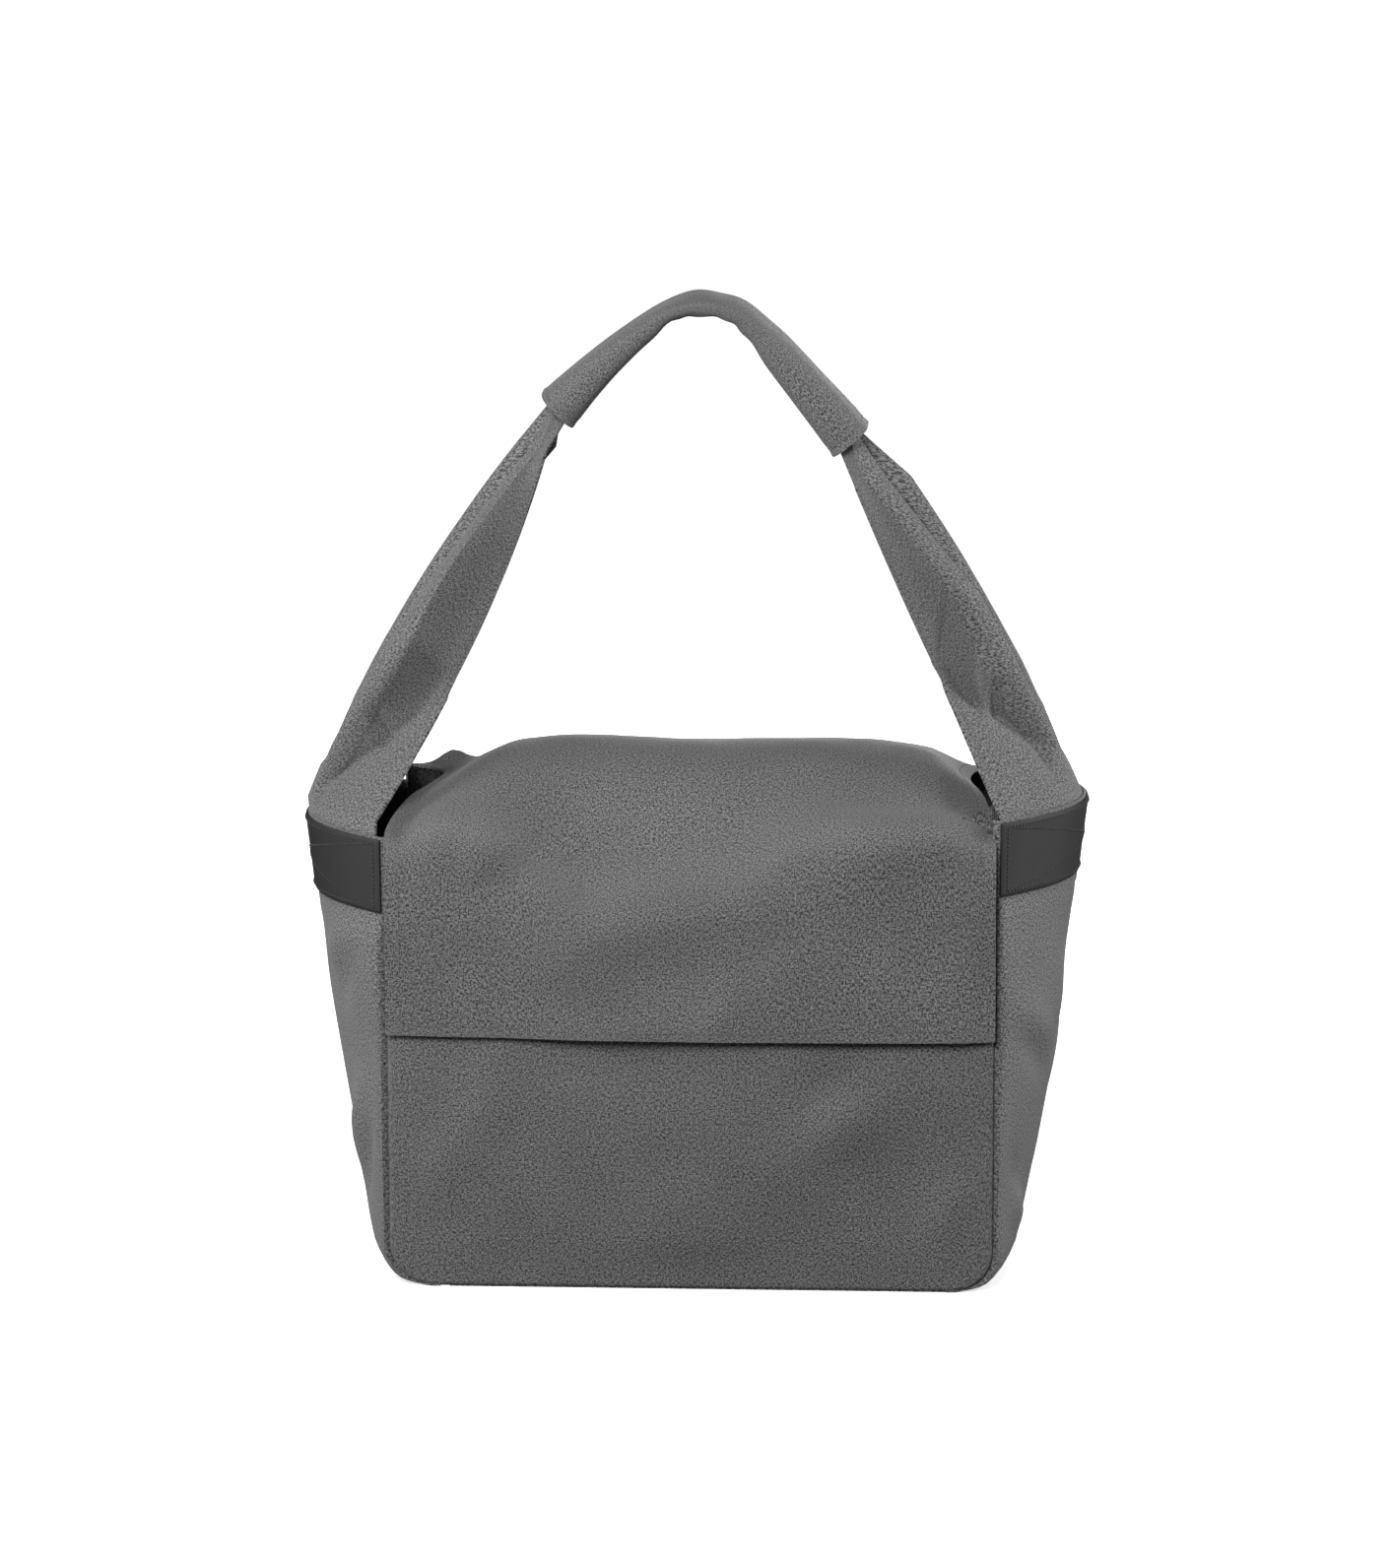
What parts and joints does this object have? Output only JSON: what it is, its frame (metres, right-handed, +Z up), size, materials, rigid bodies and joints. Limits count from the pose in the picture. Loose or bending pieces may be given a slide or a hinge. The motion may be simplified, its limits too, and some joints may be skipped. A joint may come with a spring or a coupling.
{
  "type": "shoulder mail bag",
  "caption": "Canvas mail shoulder bag with a bulging gusset, fold-over flap, leather side bands and a wide folded strap in a loose shoulder sleeve.",
  "frame": {"origin": "centre of the rectangle that the whole bag covers, on the surface it stands on", "axes": "+Z up through the bag, +Y to the back, front with the flap towards -Y, +X to the viewer's right"},
  "size_m": [0.5236, 0.1924, 0.6511],
  "materials": {
    "canvas": "mid grey heathered plain-weave cotton canvas",
    "lining": "dark grey plain-weave lining cloth",
    "leather": "black smooth-grained leather",
    "board": "stiffener board"
  },
  "bodies": {
    "bag": {"front_panel": "canvas", "rear_panel": "canvas", "left_gusset": "canvas", "right_gusset": "canvas", "base_gusset": "canvas", "base_board": "board", "front_lining": "lining", "rear_lining": "lining", "left_lining": "lining", "right_lining": "lining", "base_lining": "lining", "front_facing": "canvas", "rear_facing": "canvas", "left_band": "leather", "right_band": "leather", "left_strap_root": "canvas", "right_strap_root": "canvas"},
    "flap_top": {"flap_top": "canvas", "flap_top_lining": "lining"},
    "flap_drop": {"flap_drop": "canvas", "flap_drop_lining": "lining"},
    "strap": {"left_strap": "canvas", "right_strap": "canvas", "shoulder_sleeve": "canvas"}
  },
  "joints": [
    {"name": "flap_open", "type": "hinge", "parent": "bag", "child": "flap_top", "pos_m": [0, 0.09775, 0.3165], "axis": [-1, 0, 0], "range_deg": [0, 225], "deforming": ["left_strap", "right_strap"]},
    {"name": "flap_fold", "type": "hinge", "parent": "flap_top", "child": "flap_drop", "pos_m": [0, -0.09325, 0.3185], "axis": [-1, 0, 0], "range_deg": [0, 135]},
    {"name": "strap_swing", "type": "hinge", "parent": "bag", "child": "strap", "pos_m": [0, 0.00275, 0.395], "axis": [1, 0, 0], "range_deg": [-70, 70]}
  ]
}
